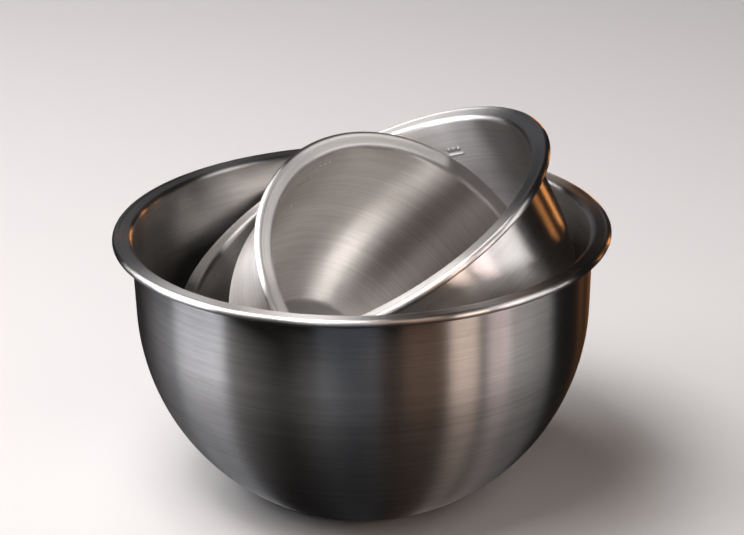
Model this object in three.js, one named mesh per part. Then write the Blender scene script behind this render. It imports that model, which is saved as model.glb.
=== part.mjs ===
// A nest of three stainless steel mixing bowls: a large bowl standing upright, a medium bowl lying
// tilted in it, and a small bowl lying tilted in the medium one. Each bowl is one pressed sheet with a
// flat base, a round body, a nearly straight wall, and a flat lip whose edge is rolled under.
// Units are millimetres, +Z is up, and the origin is the centre of the large bowl's underside.

import * as THREE from "three";

// ---- Driving dimensions ---------------------------------------------------------------------

const SHEET = 0.8; // thickness of the steel
const LIP_BEND_RADIUS = 2; // under the lip, where the wall turns out into it
const ROLL_RADIUS = 2.1; // outside of the rolled edge
const ROLL_TURN = THREE.MathUtils.degToRad(215); // how far the rolled edge turns under

// rimRadius: out to the rolled edge. wallRadius: outside of the wall, carried up to the lip's height.
// wallTaper: how far the wall leans in towards the base. bodyRadius: the arc from the wall to the base.
// baseRadius: where that arc would meet the ground. baseCorner: the rounding between the two.
const LARGE = {
  rimRadius: 130,
  height: 141,
  wallRadius: 120.4,
  wallTaper: THREE.MathUtils.degToRad(1.9),
  bodyRadius: 119.4,
  baseRadius: 60.8,
  baseCorner: 9,
};
const MEDIUM = {
  rimRadius: 109.1,
  height: 127.2,
  wallRadius: 98.7,
  wallTaper: THREE.MathUtils.degToRad(1.7),
  bodyRadius: 116.8,
  baseRadius: 51.8,
  baseCorner: 8,
};
const SMALL = {
  rimRadius: 86.9,
  height: 106.2,
  wallRadius: 77.6,
  wallTaper: THREE.MathUtils.degToRad(1.6),
  bodyRadius: 77.1,
  baseRadius: 38.4,
  baseCorner: 7,
};

// How the two inner bowls lie: the centre of the rim, and the way the opening leans, as an angle
// from upright and a compass direction counted from +X towards +Y.
const MEDIUM_REST = {
  rimCentre: new THREE.Vector3(-1.1, 6.6, 138.5),
  lean: THREE.MathUtils.degToRad(26.5),
  leanTowards: THREE.MathUtils.degToRad(191.1),
};
const SMALL_REST = {
  rimCentre: new THREE.Vector3(23.2, -7.6, 115.9),
  lean: THREE.MathUtils.degToRad(45.6),
  leanTowards: THREE.MathUtils.degToRad(310.3),
};

// Facets: round the bowl, and along each arc of its section.
const LARGE_FACETS = 60;
const MEDIUM_FACETS = 54;
const SMALL_FACETS = 48;
const BODY_STEPS = 8;
const CORNER_STEPS = 2;
const BEND_STEPS = 2;
const ROLL_STEPS = 5;

const STEEL_COLOUR = 0xb9b5b0;
const STEEL_ROUGHNESS = 0.32;
const STEEL_METALNESS = 1;

// ---- The section of a bowl ------------------------------------------------------------------

// An arc of the section, in radius and height. under is the radius of the sheet's outer skin, which
// faces down and away from the contents, and over is the radius of its inner skin.
function arc(centreX, centreY, under, over, from, to, steps) {
  return { centre: new THREE.Vector2(centreX, centreY), under, over, from, to, steps };
}

function skinPoints({ centre, from, to, steps }, radius) {
  const points = [];
  for (let step = 0; step <= steps; step += 1) {
    const angle = THREE.MathUtils.lerp(from, to, step / steps);
    points.push(new THREE.Vector2(Math.cos(angle), Math.sin(angle)).multiplyScalar(radius).add(centre));
  }
  return points;
}

// The centre of the body arc. It touches the wall line and passes through the base radius.
function bodyCentre({ height, wallRadius, wallTaper, bodyRadius, baseRadius }) {
  const downWall = new THREE.Vector2(-Math.sin(wallTaper), -Math.cos(wallTaper));
  const inFromWall = new THREE.Vector2(-Math.cos(wallTaper), Math.sin(wallTaper));
  const level = new THREE.Vector2(wallRadius, height).addScaledVector(inFromWall, bodyRadius);
  const fromBase = level.clone().sub(new THREE.Vector2(baseRadius, 0));
  const along = fromBase.dot(downWall);
  const drop = -along - Math.sqrt(along ** 2 - fromBase.lengthSq() + bodyRadius ** 2);
  return level.addScaledVector(downWall, drop);
}

// The four arcs of the section from the base to the edge. The flat base, the wall and the flat of
// the lip are the straight lines between them.
function sectionArcs(bowl) {
  const { rimRadius, height, wallRadius, wallTaper, bodyRadius, baseCorner } = bowl;
  const body = bodyCentre(bowl);
  const cornerReach = Math.sqrt((bodyRadius - baseCorner) ** 2 - (body.y - baseCorner) ** 2);
  const corner = new THREE.Vector2(body.x + cornerReach, baseCorner);
  const meeting = corner.clone().sub(body).angle() - 2 * Math.PI;

  const bendY = height - SHEET - LIP_BEND_RADIUS;
  const wallAtBend = wallRadius - (height - bendY) * Math.tan(wallTaper);
  const bendX = wallAtBend + LIP_BEND_RADIUS / Math.cos(wallTaper);
  const rollX = rimRadius - ROLL_RADIUS;
  const rollY = height - ROLL_RADIUS;

  const down = -Math.PI / 2;
  const up = Math.PI / 2;
  return [
    arc(corner.x, corner.y, baseCorner, baseCorner - SHEET, down, meeting, CORNER_STEPS),
    arc(body.x, body.y, bodyRadius, bodyRadius - SHEET, meeting, -wallTaper, BODY_STEPS),
    arc(bendX, bendY, LIP_BEND_RADIUS, LIP_BEND_RADIUS + SHEET, Math.PI - wallTaper, up, BEND_STEPS),
    arc(rollX, rollY, ROLL_RADIUS - SHEET, ROLL_RADIUS, up, up - ROLL_TURN, ROLL_STEPS),
  ];
}

// The closed outline of the sheet: out along its outer skin, and back along its inner one.
function section(bowl) {
  const arcs = sectionArcs(bowl);
  const outerSkin = arcs.flatMap((each) => skinPoints(each, each.under));
  const innerSkin = arcs.flatMap((each) => skinPoints(each, each.over));
  const baseUnder = new THREE.Vector2(0, 0);
  const baseOver = new THREE.Vector2(0, SHEET);
  return [baseUnder, ...outerSkin, ...innerSkin.reverse(), baseOver];
}

// ---- The bowls ------------------------------------------------------------------------------

function bowlMesh(name, bowl, facets) {
  const geometry = new THREE.LatheGeometry(section(bowl), facets);
  geometry.rotateX(Math.PI / 2); // the lathe turns about Y, and the bowl's axis is Z
  const steel = new THREE.MeshStandardMaterial({
    color: STEEL_COLOUR,
    roughness: STEEL_ROUGHNESS,
    metalness: STEEL_METALNESS,
  });
  const mesh = new THREE.Mesh(geometry, steel);
  mesh.name = name;
  return mesh;
}

// Lays a bowl so that its rim is centred where rest says and its opening leans that way.
function lay(mesh, bowl, rest) {
  mesh.rotation.set(0, rest.lean, rest.leanTowards, "ZYX");
  const axis = new THREE.Vector3(0, 0, 1).applyEuler(mesh.rotation);
  mesh.position.copy(rest.rimCentre).addScaledVector(axis, -bowl.height);
  return mesh;
}

const nest = new THREE.Group();
nest.add(bowlMesh("large_bowl", LARGE, LARGE_FACETS));
nest.add(lay(bowlMesh("medium_bowl", MEDIUM, MEDIUM_FACETS), MEDIUM, MEDIUM_REST));
nest.add(lay(bowlMesh("small_bowl", SMALL, SMALL_FACETS), SMALL, SMALL_REST));

export default nest;
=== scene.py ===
from math import cos, pi, radians, sin, sqrt, tan

import bpy
import numpy as np
from mathutils import Matrix, Vector


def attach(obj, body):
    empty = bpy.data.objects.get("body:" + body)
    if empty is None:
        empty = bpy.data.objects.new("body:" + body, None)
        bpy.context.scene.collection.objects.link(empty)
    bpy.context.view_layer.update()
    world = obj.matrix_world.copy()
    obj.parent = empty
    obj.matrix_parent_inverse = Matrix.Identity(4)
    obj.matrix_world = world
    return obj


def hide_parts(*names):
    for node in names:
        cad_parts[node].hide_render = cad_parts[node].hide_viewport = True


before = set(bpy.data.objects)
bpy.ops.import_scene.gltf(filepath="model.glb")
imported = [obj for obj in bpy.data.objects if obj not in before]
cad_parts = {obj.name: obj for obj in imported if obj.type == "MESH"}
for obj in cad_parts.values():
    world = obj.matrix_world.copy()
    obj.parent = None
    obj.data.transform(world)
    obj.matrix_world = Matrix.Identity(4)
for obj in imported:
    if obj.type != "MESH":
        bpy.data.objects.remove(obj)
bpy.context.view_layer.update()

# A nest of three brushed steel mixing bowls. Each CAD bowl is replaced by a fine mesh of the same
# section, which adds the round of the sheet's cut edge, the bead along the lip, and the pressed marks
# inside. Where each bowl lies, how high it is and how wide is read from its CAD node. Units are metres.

# ---- Driving dimensions ---------------------------------------------------------------------

SHEET = 0.0008  # thickness of the steel
LIP_BEND_RADIUS = 0.002  # under the lip, where the wall turns out into it
ROLL_RADIUS = 0.0021  # outside of the rolled edge
ROLL_TURN = radians(215)  # how far the rolled edge turns under
LIP_SINK = 0.0003  # how far the flat of the lip lies below the crest of the rolled edge
BEAD_RUN = 0.0016  # the slope between the two

# wall_radius: outside of the wall, carried up to the lip's height. wall_taper: how far it leans in
# towards the base. body_radius: the arc from the wall to the base. base_radius: where that arc would
# meet the ground. base_corner: the rounding between the two.
SECTIONS = {
    "large_bowl": dict(wall_radius=0.1204, wall_taper=radians(1.9), body_radius=0.1194,
                       base_radius=0.0608, base_corner=0.009),
    "medium_bowl": dict(wall_radius=0.0987, wall_taper=radians(1.7), body_radius=0.1168,
                        base_radius=0.0518, base_corner=0.008),
    "small_bowl": dict(wall_radius=0.0776, wall_taper=radians(1.6), body_radius=0.0771,
                       base_radius=0.0384, base_corner=0.007),
}

# Capacity marks, pressed out from behind: a bar at the level, with dots above it that count the mark.
# angle is counted round the bowl from its downhill side, and depth is down from the top of the lip.
MARKS = {
    "large_bowl": [],
    "medium_bowl": [dict(angle=radians(227.5), depth=0.0225, dots=3)],
    "small_bowl": [dict(angle=radians(181.5), depth=0.0155, dots=3),
                   dict(angle=radians(188), depth=0.028, dots=2),
                   dict(angle=radians(182), depth=0.0585, dots=1)],
}
MARK_BAR = (0.0046, 0.0005)  # half length and half width
MARK_DOT_RADIUS = 0.001
MARK_DOT_PITCH = 0.0032
MARK_DOT_RISE = 0.0034  # from the bar up to the row of dots
MARK_HEIGHT = 0.00035
MARK_EDGE = 0.0007  # width of a mark's sloping edge

# How fine the mesh is: round the bowl, along each arc of its section, and between the arcs.
SEGMENTS = 240
CORNER_STEPS = 8
BODY_STEPS = 30
BEND_STEPS = 8
ROLL_STEPS = 20
SLOPE_STEPS = 6  # from the flat of the lip up to the crest of the rolled edge
CUT_EDGE_STEPS = 5
BASE_SPACING = 0.008
WALL_SPACING = 0.006
LIP_SPACING = 0.002
MARK_STEP = 0.00055  # mesh spacing where a mark is pressed
MARK_MARGIN = 1.2  # how much wider than the marks the close spacing runs
NEAREST = MARK_STEP / 8  # rows that would lie nearer to each other than this are left out
LIP_DEPTH = 0.004  # the lip and its bend lie above this depth, and no mark does
FLAT_POINTS = 8  # the first points of a skin, which take in all of the level base
LEVEL_LEAN = 1e-3  # a bowl that leans less than this counts as upright

# The brushing: how often it changes per metre, across the lines and along them, and how many finer
# layers of the same are added to it.
LINES = dict(across=560, along=4, detail=4)
SCRATCHES = dict(across=1100, along=60, detail=2)
SMUDGES = dict(across=22, along=22, detail=3)
NOISE_ROUGHNESS = 0.75  # how strong the finer layers are
NOISE_RANGE = (0.3, 0.7)  # where nearly all of the noise lies

# What the lines, the scratches and the smudges each add to the roughness, and to the tone, which goes
# from the darkest lines at 0 to the brightest ones at 1.
ROUGHNESS_SPANS = ((0.281, 0.297), (-0.003, 0.003), (-0.004, 0.006))
TONE_SPANS = ((0.1, 0.6), (0.0, 0.25), (-0.05, 0.15))
STEEL_TINT = (0.62, 0.60, 0.58)
DARK_LINE = 0.78  # the darkest and the brightest lines, as shares of the tint
BRIGHT_LINE = 1.2
RELIEF_STRENGTH = 0.3
RELIEF_DEPTH = 0.000006

# The camera, in metres, millimetres of lens and degrees.
CAMERA_PLACE = (0.0050, -1.3661, 0.6585)
CAMERA_PITCH = 21.61  # downwards
CAMERA_ROLL = -0.99
CAMERA_LENS = 135.5
CAMERA_SENSOR = 36

# Soft boxes round the bowls: bright and cool on the left, weaker and warmer on the right, and low behind
# them only a faint one and three narrow amber ones. The gaps between them give the steel its dark bands.
# compass and height are the angles that a box spans, in degrees: see soft_box.
LIGHT_DISTANCE = 1.6
LIGHT_AIM = Vector((0, 0, 0.1))
LOW_BOX_TOP = 40  # a soft box that ends below this height, in degrees, is a low one
COOL = (0.89, 0.91, 1)
PLAIN = (1, 0.97, 0.97)
ROSE = (1, 0.8, 0.78)
WARM = (1, 0.77, 0.65)
UMBER = (1, 0.58, 0.38)
AMBER = (1, 0.4, 0.12)
BLUE = (0.7, 0.8, 1)
SOFT_BOXES = {
    "key_low": dict(compass=(-113, -81), height=(-3, 9), brightness=5.4, colour=COOL),
    "key_mid": dict(compass=(-111, -61), height=(9, 31), brightness=3.8, colour=COOL),
    "key_high": dict(compass=(-120, -42), height=(31, 59), brightness=4.2, colour=PLAIN),
    "front_left_high": dict(compass=(-165, -142), height=(31, 59), brightness=1.2, colour=PLAIN),
    "overhead": dict(compass=(-165, -70), height=(60, 84), brightness=8.5, colour=PLAIN),
    "fill_low": dict(compass=(81, 111), height=(-3, 9), brightness=3.0, colour=PLAIN),
    "fill_mid": dict(compass=(90, 140), height=(9, 31), brightness=1.5, colour=PLAIN),
    "fill_high": dict(compass=(78, 108), height=(31, 56), brightness=1.4, colour=PLAIN),
    "fill_rose": dict(compass=(109, 121), height=(-3, 9), brightness=6.2, colour=ROSE),
    "fill_warm": dict(compass=(126, 140), height=(-3, 9), brightness=7.6, colour=WARM),
    "front_warm": dict(compass=(140, 162), height=(-3, 9), brightness=0.9, colour=UMBER),
    "front_right_high": dict(compass=(140, 180), height=(31, 59), brightness=1.1, colour=WARM),
    "front_blue": dict(compass=(172, 202), height=(-3, 31), brightness=0.45, colour=BLUE),
    "key_tail": dict(compass=(-61, -50), height=(9, 31), brightness=2.0, colour=PLAIN),
    "overhead_back": dict(compass=(-60, 0), height=(60, 84), brightness=4.0, colour=PLAIN),
    "rear_low": dict(compass=(-30, 0), height=(9, 31), brightness=0.12, colour=COOL),
    "rear_amber_left": dict(compass=(10, 18), height=(-3, 9), brightness=3.5, colour=AMBER),
    "rear_amber_middle": dict(compass=(36, 41), height=(-3, 9), brightness=4.0, colour=AMBER),
    "rear_amber_right": dict(compass=(50, 55), height=(-3, 9), brightness=1.8, colour=AMBER),
}
ROOM_COLOUR = (0.012, 0.011, 0.011)
FLOOR_COLOUR = (0.7, 0.69, 0.685)
FLOOR_ROUGHNESS = 0.6
FLOOR_HALF = 6.0


# ---- The section of a bowl ------------------------------------------------------------------

def arc(centre, under, over, start, end, steps):
    """An arc of the section. under is the radius of the outer skin and over that of the inner skin."""
    return dict(centre=np.array(centre), under=under, over=over, start=start, end=end, steps=steps)


def skin_points(each, radius):
    """The points of an arc, at the radius of one of its two skins."""
    angles = np.linspace(each["start"], each["end"], each["steps"] + 1)
    return each["centre"] + radius * np.stack([np.cos(angles), np.sin(angles)], axis=1)


def body_centre(height, wall_radius, wall_taper, body_radius, base_radius):
    """The centre of the body arc, which touches the wall and passes through the base radius."""
    down_wall = np.array([-sin(wall_taper), -cos(wall_taper)])
    in_from_wall = np.array([-cos(wall_taper), sin(wall_taper)])
    level = np.array([wall_radius, height]) + body_radius * in_from_wall
    from_base = level - np.array([base_radius, 0])
    along = from_base @ down_wall
    drop = -along - sqrt(along ** 2 - from_base @ from_base + body_radius ** 2)
    return level + drop * down_wall


def section_arcs(rim_radius, height, wall_radius, wall_taper, body_radius, base_radius, base_corner):
    """The four arcs from the base to the edge: the base's corner, the body, the bend and the roll."""
    body = body_centre(height, wall_radius, wall_taper, body_radius, base_radius)
    corner_reach = sqrt((body_radius - base_corner) ** 2 - (body[1] - base_corner) ** 2)
    corner = np.array([body[0] + corner_reach, base_corner])
    meeting = np.arctan2(*(corner - body)[::-1])

    flat = height - LIP_SINK
    bend_y = flat - SHEET - LIP_BEND_RADIUS
    wall_at_bend = wall_radius - (height - bend_y) * tan(wall_taper)
    bend_x = wall_at_bend + LIP_BEND_RADIUS / cos(wall_taper)
    roll = (rim_radius - ROLL_RADIUS, height - ROLL_RADIUS)
    return [
        arc(corner, base_corner, base_corner - SHEET, -pi / 2, meeting, CORNER_STEPS),
        arc(body, body_radius, body_radius - SHEET, meeting, -wall_taper, BODY_STEPS),
        arc((bend_x, bend_y), LIP_BEND_RADIUS, LIP_BEND_RADIUS + SHEET,
            pi - wall_taper, pi / 2, BEND_STEPS),
        arc(roll, ROLL_RADIUS - SHEET, ROLL_RADIUS, pi / 2, pi / 2 - ROLL_TURN, ROLL_STEPS),
    ]


def smoothstep(share):
    """A smooth S from 0 to 1, as share goes from 0 to 1."""
    share = np.clip(share, 0, 1)
    return share * share * (3 - 2 * share)


def lip_slope(start, end):
    """A smooth S between the flat of the lip and the crest of the rolled edge."""
    share = np.linspace(0, 1, SLOPE_STEPS + 2)[1:-1]
    x = start[0] + (end[0] - start[0]) * share
    y = start[1] + (end[1] - start[1]) * smoothstep(share)
    return np.stack([x, y], axis=1)


def spread(start, end, longest):
    """Points strictly between start and end, no further apart than longest."""
    count = int(np.ceil(np.linalg.norm(end - start) / longest))
    share = np.arange(1, count)[:, None] / count
    return start + (end - start) * share


def skin(arcs, side):
    """One skin of the sheet from the base's centre to the cut edge, in radius and height."""
    corner, body, bend, roll = [skin_points(each, each[side]) for each in arcs]
    centre = np.array([0, corner[0][1]])
    slope_start = np.array([roll[0][0] - BEAD_RUN, bend[-1][1]])
    return np.concatenate([
        spread(centre, corner[0], BASE_SPACING), corner, body[1:],
        spread(body[-1], bend[0], WALL_SPACING), bend,
        spread(bend[-1], slope_start, LIP_SPACING), [slope_start],
        lip_slope(slope_start, roll[0]), roll,
    ])


def cut_edge(under_end, over_end):
    """The round of the sheet's cut edge, from its outer skin to its inner one."""
    middle = (under_end + over_end) / 2
    across = (over_end - under_end) / 2
    out = np.array([across[1], -across[0]])
    angles = np.linspace(-pi / 2, pi / 2, CUT_EDGE_STEPS + 2)[1:-1]
    return np.array([middle + across * sin(angle) + out * cos(angle) for angle in angles])


# ---- Meshes ---------------------------------------------------------------------------------

def lie_of(node):
    """The bowl's own frame, read from its CAD node: origin at the underside's centre, Z along its
    axis and X downhill. Also its height and the radius of its rim. The bowl's points spread equally
    both ways across its axis, so the axis is the direction whose spread is the odd one out."""
    points = np.array([v.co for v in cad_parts[node].data.vertices])
    centre = points.mean(axis=0)
    values, vectors = np.linalg.eigh(np.cov((points - centre).T))
    odd_one = 0 if values[1] - values[0] > values[2] - values[1] else 2
    up = vectors[:, odd_one] * np.sign(vectors[2, odd_one])
    along = (points - centre) @ up
    downhill = up[2] * up - np.array([0, 0, 1])
    upright = np.linalg.norm(downhill) < LEVEL_LEAN
    x = np.array([1, 0, 0]) if upright else downhill / np.linalg.norm(downhill)
    x = x - (x @ up) * up
    x /= np.linalg.norm(x)
    lie = Matrix.Identity(4)
    for column, vector in enumerate((x, np.cross(up, x), up, centre + along.min() * up)):
        lie.col[column][:3] = vector
    across = np.linalg.norm((points - centre) - along[:, None] * up, axis=1)
    return lie, along.max() - along.min(), across.max()


def refined(values, places, reach, step):
    """values, with more added within reach of each of the places, step apart."""
    extra = [np.arange(place - reach, place + reach, step) for place in places]
    return np.unique(np.concatenate([values, *extra]).round(9))


def outline(node, height, rim_radius):
    """The two skins as points, each with its distance along the section."""
    arcs = section_arcs(rim_radius, height, **SECTIONS[node])
    skins = {}
    for side in ("under", "over"):
        points = skin(arcs, side)
        reach = np.concatenate([[0], np.cumsum(np.linalg.norm(np.diff(points, axis=0), axis=1))])
        skins[side] = (points, reach)
    return skins


def resample(points, reach, stations):
    """The points of a skin at other distances along it."""
    return np.stack([np.interp(stations, reach, values) for values in points.T], axis=1)


def mark_height(node, angles, radius, depth):
    """How far the marks stand off the wall, at each angle, for one height of the section."""
    height = np.zeros_like(angles)
    for mark in MARKS[node]:
        turn = (angles - mark["angle"] + pi) % (2 * pi) - pi
        across = turn * radius
        up = mark["depth"] - depth
        half_length, half_width = MARK_BAR
        beyond = np.maximum(np.abs(across) - half_length, 0)
        shapes = [np.hypot(beyond, up) - half_width]
        for index in range(mark["dots"]):
            place = (index - (mark["dots"] - 1) / 2) * MARK_DOT_PITCH
            shapes.append(np.hypot(across - place, up - MARK_DOT_RISE) - MARK_DOT_RADIUS)
        outside = np.minimum.reduce(shapes)
        height = np.maximum(height, MARK_HEIGHT * smoothstep(0.5 - outside / MARK_EDGE))
    return height


def bowl_profile(node, height, rim_radius):
    """Rows of the mesh from the underside's centre round to the inside's centre: radius and height,
    distance along the section, and -1 on the outer skin, 0 on the cut edge or 1 on the inner skin."""
    skins = outline(node, height, rim_radius)
    mark_reach = MARK_DOT_RISE + MARK_DOT_RADIUS + MARK_EDGE
    rows = {}
    for side in ("under", "over"):
        points, reach = skins[side]
        wall = points[:, 1] < height - LIP_DEPTH
        wall_heights = points[wall, 1][FLAT_POINTS:]
        wall_reach = reach[wall][FLAT_POINTS:]
        places = [np.interp(height - mark["depth"] + MARK_DOT_RISE / 2, wall_heights, wall_reach)
                  for mark in MARKS[node]]
        stations = refined(reach, places, mark_reach, MARK_STEP)
        stations = stations[np.concatenate([[True], np.diff(stations) > NEAREST])]
        rows[side] = (resample(points, reach, stations), stations)
    (under, under_reach), (over, over_reach) = rows["under"], rows["over"]
    edge = cut_edge(under[-1], over[-1])
    path = np.concatenate([under, edge, over[::-1]])
    reach = np.concatenate([under_reach, np.full(len(edge), under_reach[-1]), over_reach[::-1]])
    side = np.concatenate([np.full(len(under), -1), np.zeros(len(edge)), np.full(len(over), 1)])
    return path, reach, side


def bowl_points(node, height, path, side, angles):
    """The mesh's points in the bowl's own frame, a row for each point of the section. The marks are
    pressed towards the contents on both skins."""
    tangent = np.gradient(path, axis=0)
    tangent /= np.linalg.norm(tangent, axis=1)[:, None]
    to_contents = np.stack([tangent[:, 1], -tangent[:, 0]], axis=1) * side[:, None]
    rows = []
    for (radius, z), direction in zip(path, to_contents):
        on_wall = radius > SECTIONS[node]["base_radius"]
        stand = mark_height(node, angles, radius, height - z) * on_wall
        r = radius + stand * direction[0]
        rows.append(np.stack([r * np.cos(angles), r * np.sin(angles), z + stand * direction[1]], axis=1))
    return rows


def bowl_faces(rows, columns):
    """Quads between the rows, and a fan at each end round the two centres, which come last."""
    along = np.arange(columns)
    following = np.roll(along, -1)
    faces = []
    for row in range(rows - 1):
        base = row * columns
        quads = [along, following, following + columns, along + columns]
        faces += (np.stack(quads, axis=1) + base).tolist()
    under_centre = rows * columns
    over_centre = under_centre + 1
    last = (rows - 1) * columns
    for here, after in zip(along.tolist(), following.tolist()):
        faces.append([under_centre, after, here])
        faces.append([over_centre, last + here, last + after])
    return faces


def add_around_map(mesh, angles, reach, columns):
    """A UV map with U round the bowl and V along its section, for the direction of the brushing. The
    last column of quads closes the ring, and each triangle of a fan has its own U at the centre."""
    turn = np.append(angles, angles[0] + 2 * pi) / (2 * pi)
    corners = np.empty(len(mesh.loops), int)
    mesh.loops.foreach_get("vertex_index", corners)
    column = corners % columns
    row = np.minimum(corners // columns, len(reach) - 1)
    quad_corners = (len(reach) - 1) * columns * 4
    seam = np.arange(0, quad_corners, 4)[columns - 1::columns]
    at_seam = np.zeros(len(corners), bool)
    at_seam[seam + 1] = True
    at_seam[seam + 2] = True
    u = np.where(at_seam, turn[-1], turn[column])
    v = reach[row] / reach.max()
    # The fans come after the quads: six corners for each column, in the order that bowl_faces gives.
    fan_pairs = quad_corners + 6 * np.arange(columns)
    for centre_at, here_at, after_at in ((0, 2, 1), (3, 4, 5)):
        u[fan_pairs + here_at] = turn[:-1]
        u[fan_pairs + after_at] = turn[1:]
        u[fan_pairs + centre_at] = (turn[:-1] + turn[1:]) / 2
        v[fan_pairs + centre_at] = 0
    around = mesh.uv_layers.new(name="around")
    around.data.foreach_set("uv", np.stack([u, v], axis=1).astype(np.float32).ravel())


def bowl_mesh(node, lie, height, rim_radius):
    """The whole sheet as one closed mesh, where the CAD bowl lies. The attribute brush holds the
    bowl's own X and Y and the distance along the section, which the brushing follows."""
    path, reach, side = bowl_profile(node, height, rim_radius)
    even = np.linspace(0, 2 * pi, SEGMENTS, endpoint=False)
    mark_reach = (MARK_BAR[0] + MARK_BAR[1] + MARK_EDGE) / rim_radius * MARK_MARGIN
    places = [mark["angle"] for mark in MARKS[node]]
    angles = refined(even, places, mark_reach, MARK_STEP / rim_radius)
    columns = len(angles)
    rows = bowl_points(node, height, path, side, angles)
    centres = np.array([[0, 0, path[0][1]], [0, 0, path[-1][1]]])
    points = np.concatenate([*rows, centres])

    mesh = bpy.data.meshes.new(node + "_sheet")
    mesh.from_pydata(points.tolist(), [], bowl_faces(len(rows), columns))
    brush = points.copy()
    brush[:, 2] = np.append(np.repeat(reach, columns), [0, 0])
    mesh.attributes.new("brush", "FLOAT_VECTOR", "POINT").data.foreach_set("vector", brush.ravel())
    add_around_map(mesh, angles, reach, columns)
    mesh.polygons.foreach_set("use_smooth", [True] * len(mesh.polygons))
    mesh.transform(lie)
    mesh.update()
    return mesh


# ---- Materials ------------------------------------------------------------------------------

def add(nodes, kind, **settings):
    """A new shader node. Each setting goes to the socket of that name, or else to the property."""
    node = nodes.new("ShaderNode" + kind)
    for name, value in settings.items():
        if name in node.inputs:
            node.inputs[name].default_value = value
        else:
            setattr(node, name, value)
    return node


def new_material(name):
    """A material with its nodes, its links and its one shader."""
    material = bpy.data.materials.new(name)
    material.use_nodes = True
    nodes = material.node_tree.nodes
    return material, nodes, material.node_tree.links, nodes["Principled BSDF"]


def streaks(nodes, links, place, across, along, detail):
    """Noise drawn out into lines round the bowl: along is how often it changes per metre round the
    bowl, and across is how often per metre up its section."""
    stretch = add(nodes, "Mapping", Scale=(along, along, across))
    links.new(place, stretch.inputs["Vector"])
    noise = add(nodes, "TexNoise", Scale=1.0, Detail=detail, Roughness=NOISE_ROUGHNESS)
    links.new(stretch.outputs["Vector"], noise.inputs["Vector"])
    return noise.outputs["Fac"]


def ranged(nodes, links, value, low, high):
    """value, which is noise round 0.5, brought to between low and high."""
    scaled = add(nodes, "MapRange")
    scaled.inputs["From Min"].default_value = NOISE_RANGE[0]
    scaled.inputs["From Max"].default_value = NOISE_RANGE[1]
    scaled.inputs["To Min"].default_value = low
    scaled.inputs["To Max"].default_value = high
    links.new(value, scaled.inputs["Value"])
    return scaled.outputs["Result"]


def total(nodes, links, values):
    """The sum of the values."""
    result = values[0]
    for value in values[1:]:
        plus = add(nodes, "Math", operation="ADD")
        links.new(result, plus.inputs[0])
        links.new(value, plus.inputs[1])
        result = plus.outputs["Value"]
    return result


def mixed(nodes, links, values, spans):
    """The sum of the values, each brought to its own span."""
    return total(nodes, links, [ranged(nodes, links, value, *span) for value, span in zip(values, spans)])


def brushed_steel(name, tint):
    """Satin steel, brushed round the bowl. Long fine lines and shorter scratches change its roughness,
    its tone and its relief, and hands and cloths have left it a little uneven."""
    material, nodes, links, shader = new_material(name)
    shader.inputs["Metallic"].default_value = 1
    shader.inputs["Anisotropic"].default_value = 1
    shader.inputs["Anisotropic Rotation"].default_value = 0.25

    tangent = add(nodes, "Tangent", direction_type="UV_MAP", uv_map="around")
    links.new(tangent.outputs["Tangent"], shader.inputs["Tangent"])
    place = add(nodes, "Attribute", attribute_name="brush").outputs["Vector"]
    wear = [streaks(nodes, links, place, **kind) for kind in (LINES, SCRATCHES, SMUDGES)]
    links.new(mixed(nodes, links, wear, ROUGHNESS_SPANS), shader.inputs["Roughness"])

    ramp = add(nodes, "ValToRGB")
    ramp.color_ramp.elements[0].color = (*[DARK_LINE * channel for channel in tint], 1)
    ramp.color_ramp.elements[1].color = (*[BRIGHT_LINE * channel for channel in tint], 1)
    links.new(mixed(nodes, links, wear, TONE_SPANS), ramp.inputs["Fac"])
    links.new(ramp.outputs["Color"], shader.inputs["Base Color"])

    relief = add(nodes, "Bump", Strength=RELIEF_STRENGTH, Distance=RELIEF_DEPTH)
    lines_and_scratches = wear[:2]
    links.new(total(nodes, links, lines_and_scratches), relief.inputs["Height"])
    links.new(relief.outputs["Normal"], shader.inputs["Normal"])
    return material


# ---- Camera, light and stage ------------------------------------------------------------------

def make_camera():
    """The camera, and plain colours in what it shows."""
    data = bpy.data.cameras.new("camera")
    data.sensor_width = CAMERA_SENSOR
    data.lens = CAMERA_LENS
    camera = bpy.data.objects.new("camera", data)
    tilt = Matrix.Rotation(pi / 2 - radians(CAMERA_PITCH), 4, "X")
    roll = Matrix.Rotation(radians(CAMERA_ROLL), 4, "Z")
    camera.matrix_world = Matrix.Translation(CAMERA_PLACE) @ tilt @ roll
    bpy.context.scene.collection.objects.link(camera)
    bpy.context.scene.camera = camera
    bpy.context.scene.view_settings.view_transform = "Standard"


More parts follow.
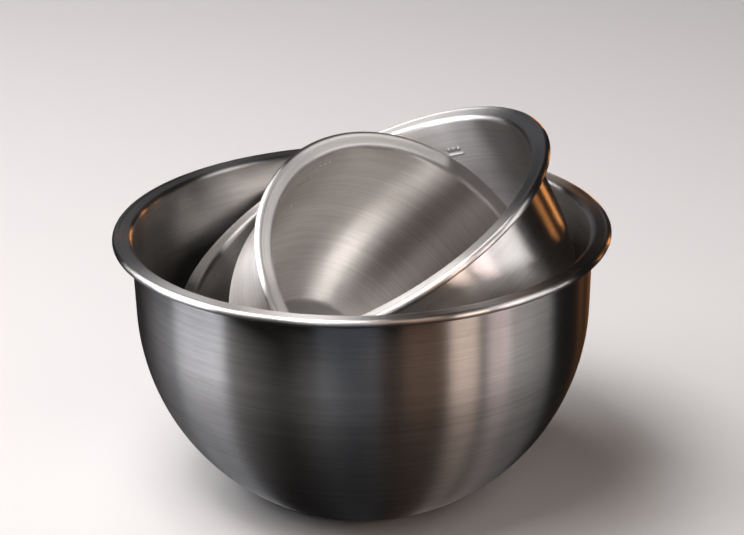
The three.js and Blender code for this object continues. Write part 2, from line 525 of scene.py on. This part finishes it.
def soft_box(name, compass, height, brightness, colour):
    """A soft box of even brightness that faces the bowls. compass and height are the angles it spans,
    seen from the bowls: compass from behind them (+Y) towards the right (+X), and height from level."""
    turn = radians(sum(compass) / 2)
    rise = radians(sum(height) / 2)
    towards = Vector((sin(turn) * cos(rise), cos(turn) * cos(rise), sin(rise)))
    data = bpy.data.lights.new(name, "AREA")
    data.shape = "RECTANGLE"
    data.size = 2 * LIGHT_DISTANCE * tan(radians(compass[1] - compass[0]) / 2) * cos(rise)
    data.size_y = 2 * LIGHT_DISTANCE * tan(radians(height[1] - height[0]) / 2)
    data.energy = pi * data.size * data.size_y * brightness  # the same brightness at any size
    data.color = colour
    light = bpy.data.objects.new(name, data)
    facing = (-towards).to_track_quat("-Z", "Y")
    at = LIGHT_AIM + LIGHT_DISTANCE * towards
    light.matrix_world = Matrix.Translation(at) @ facing.to_matrix().to_4x4()
    light.visible_camera = False
    bpy.context.scene.collection.objects.link(light)
    return light


def make_lights(floor):
    """All the soft boxes. The low ones would burn out the floor beside them, so they leave it unlit."""
    off_floor = bpy.data.collections.new("off_floor")
    off_floor.objects.link(floor)
    off_floor.collection_objects[0].light_linking.link_state = "EXCLUDE"
    for name, box in SOFT_BOXES.items():
        light = soft_box(name, **box)
        if box["height"][1] < LOW_BOX_TOP:
            light.light_linking.receiver_collection = off_floor


def make_world():
    """The dim room beyond the soft boxes."""
    world = bpy.data.worlds.new("room")
    world.use_nodes = True
    world.node_tree.nodes["Background"].inputs["Color"].default_value = (*ROOM_COLOUR, 1)
    bpy.context.scene.world = world


def make_floor():
    """A pale floor. The steel doesn't mirror it, and so keeps the dark underside it has on dark ground."""
    mesh = bpy.data.meshes.new("floor")
    corners = [(FLOOR_HALF * x, FLOOR_HALF * y, 0) for x, y in ((-1, -1), (1, -1), (1, 1), (-1, 1))]
    mesh.from_pydata(corners, [], [(0, 1, 2, 3)])
    floor = bpy.data.objects.new("floor", mesh)
    floor.visible_glossy = False
    material, _, _, shader = new_material("floor_pale")
    shader.inputs["Base Color"].default_value = (*FLOOR_COLOUR, 1)
    shader.inputs["Roughness"].default_value = FLOOR_ROUGHNESS
    mesh.materials.append(material)
    bpy.context.scene.collection.objects.link(floor)
    return floor


# ---- Putting it together ----------------------------------------------------------------------

def make_bowl(node, material):
    """The fine bowl in place of its CAD node, which it lies on and moves with."""
    lie, height, rim_radius = lie_of(node)
    bowl = bpy.data.objects.new(node + "_sheet", bowl_mesh(node, lie, height, rim_radius))
    bowl.data.materials.append(material)
    bpy.context.scene.collection.objects.link(bowl)
    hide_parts(node)
    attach(bowl, node)


steel = brushed_steel("steel_brushed", STEEL_TINT)
for bowl_node in SECTIONS:
    make_bowl(bowl_node, steel)
make_camera()
make_world()
make_lights(make_floor())
